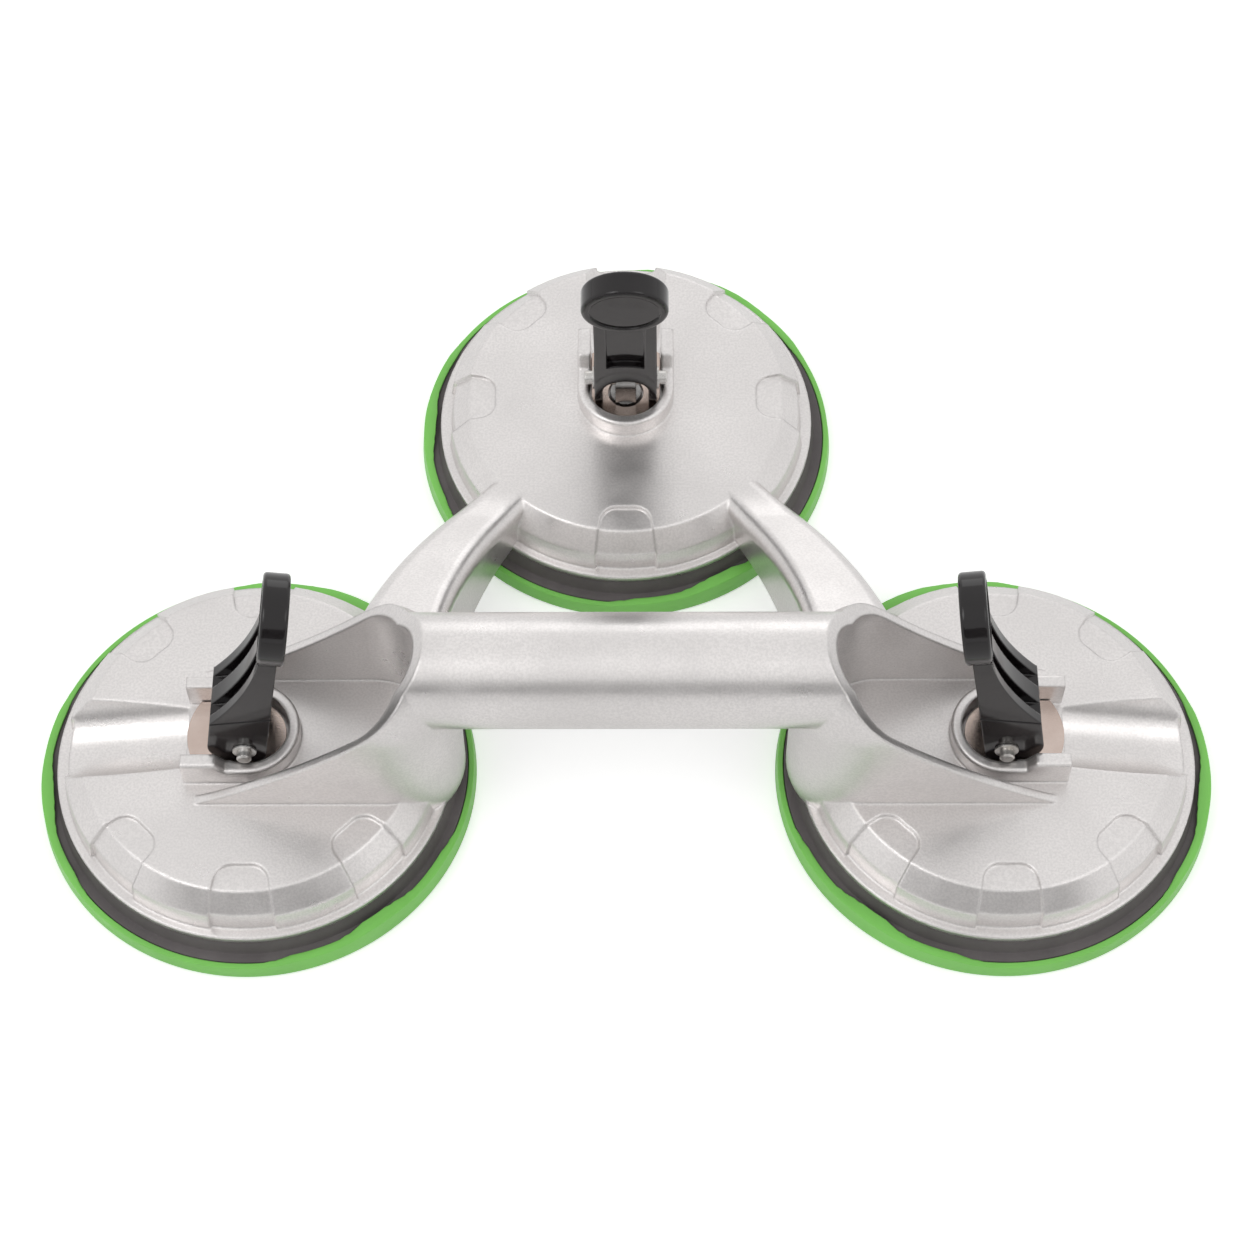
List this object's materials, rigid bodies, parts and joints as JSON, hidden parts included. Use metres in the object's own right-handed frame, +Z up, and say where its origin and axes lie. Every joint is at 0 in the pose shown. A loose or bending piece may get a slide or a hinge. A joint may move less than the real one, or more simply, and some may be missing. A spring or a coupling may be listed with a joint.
{
  "type": "floor tile suction lifter",
  "caption": "Hand lifter for raised floor tiles: cast body with a hollow bar handle over round suction cups, each worked by a folding cam lever and covered by a push-on cap.",
  "frame": {"origin": "on the floor, under the middle of the whole tool's outline", "axes": "+X along the handle to the user's right, +Y from the handle towards the third cup, +Z up"},
  "size_m": [0.3248, 0.2328, 0.1001],
  "materials": {
    "cast_aluminium": "bead-blasted casting, satin",
    "lever_black": "glossy moulded",
    "pad_rubber": "matt moulded rubber",
    "cap_green": "satin moulded",
    "plate_steel": "zinc plated, worn satin",
    "plated_steel": "zinc plated",
    "spring_steel": "drawn wire"
  },
  "bodies": {
    "root": {"body_casting": "cast_aluminium", "wear_plate_left": "plate_steel", "suction_pad_left": "pad_rubber", "return_spring_left": "spring_steel", "wear_plate_right": "plate_steel", "suction_pad_right": "pad_rubber", "return_spring_right": "spring_steel", "wear_plate_back": "plate_steel", "suction_pad_back": "pad_rubber", "return_spring_back": "spring_steel"},
    "stem_left": {"stem_left": "plated_steel", "pad_core_left": "plated_steel"},
    "lever_left": {"lever_left": "lever_black", "pivot_pin_left": "plated_steel", "pin_clips_left": "plated_steel"},
    "cap_left": {"protective_cap_left": "cap_green"},
    "stem_right": {"stem_right": "plated_steel", "pad_core_right": "plated_steel"},
    "lever_right": {"lever_right": "lever_black", "pivot_pin_right": "plated_steel", "pin_clips_right": "plated_steel"},
    "cap_right": {"protective_cap_right": "cap_green"},
    "stem_back": {"stem_back": "plated_steel", "pad_core_back": "plated_steel"},
    "lever_back": {"lever_back": "lever_black", "pivot_pin_back": "plated_steel", "pin_clips_back": "plated_steel"},
    "cap_back": {"protective_cap_back": "cap_green"}
  },
  "joints": [
    {"name": "stem_lift_left", "type": "slide", "parent": "root", "child": "stem_left", "axis": [0, 0, 1], "range_m": [0, 0.0025], "deforming": ["suction_pad_left", "return_spring_left"]},
    {"name": "lever_turn_left", "type": "hinge", "parent": "stem_left", "child": "lever_left", "pos_m": [-0.102, -0.056, 0.0335], "axis": [0, -1, 0], "range_deg": [0, 99.5]},
    {"name": "cap_off_left", "type": "slide", "parent": "root", "child": "cap_left", "axis": [0, 0, 1], "range_m": [-0.03, 0]},
    {"name": "stem_lift_right", "type": "slide", "parent": "root", "child": "stem_right", "axis": [0, 0, 1], "range_m": [0, 0.0025], "deforming": ["suction_pad_right", "return_spring_right"]},
    {"name": "lever_turn_right", "type": "hinge", "parent": "stem_right", "child": "lever_right", "pos_m": [0.102, -0.056, 0.0335], "axis": [0, 1, 0], "range_deg": [0, 99.5]},
    {"name": "cap_off_right", "type": "slide", "parent": "root", "child": "cap_right", "axis": [0, 0, 1], "range_m": [-0.03, 0]},
    {"name": "stem_lift_back", "type": "slide", "parent": "root", "child": "stem_back", "axis": [0, 0, 1], "range_m": [0, 0.0025], "deforming": ["suction_pad_back", "return_spring_back"]},
    {"name": "lever_turn_back", "type": "hinge", "parent": "stem_back", "child": "lever_back", "pos_m": [0, 0.056, 0.0335], "axis": [-1, 0, 0], "range_deg": [0, 99.5]},
    {"name": "cap_off_back", "type": "slide", "parent": "root", "child": "cap_back", "axis": [0, 0, 1], "range_m": [-0.03, 0]}
  ],
  "couplings": [
    {"joint": "stem_lift_left", "follows": "lever_turn_left", "m_per_rad": 0.0014396},
    {"joint": "stem_lift_right", "follows": "lever_turn_right", "m_per_rad": 0.0014396},
    {"joint": "stem_lift_back", "follows": "lever_turn_back", "m_per_rad": 0.0014396}
  ]
}
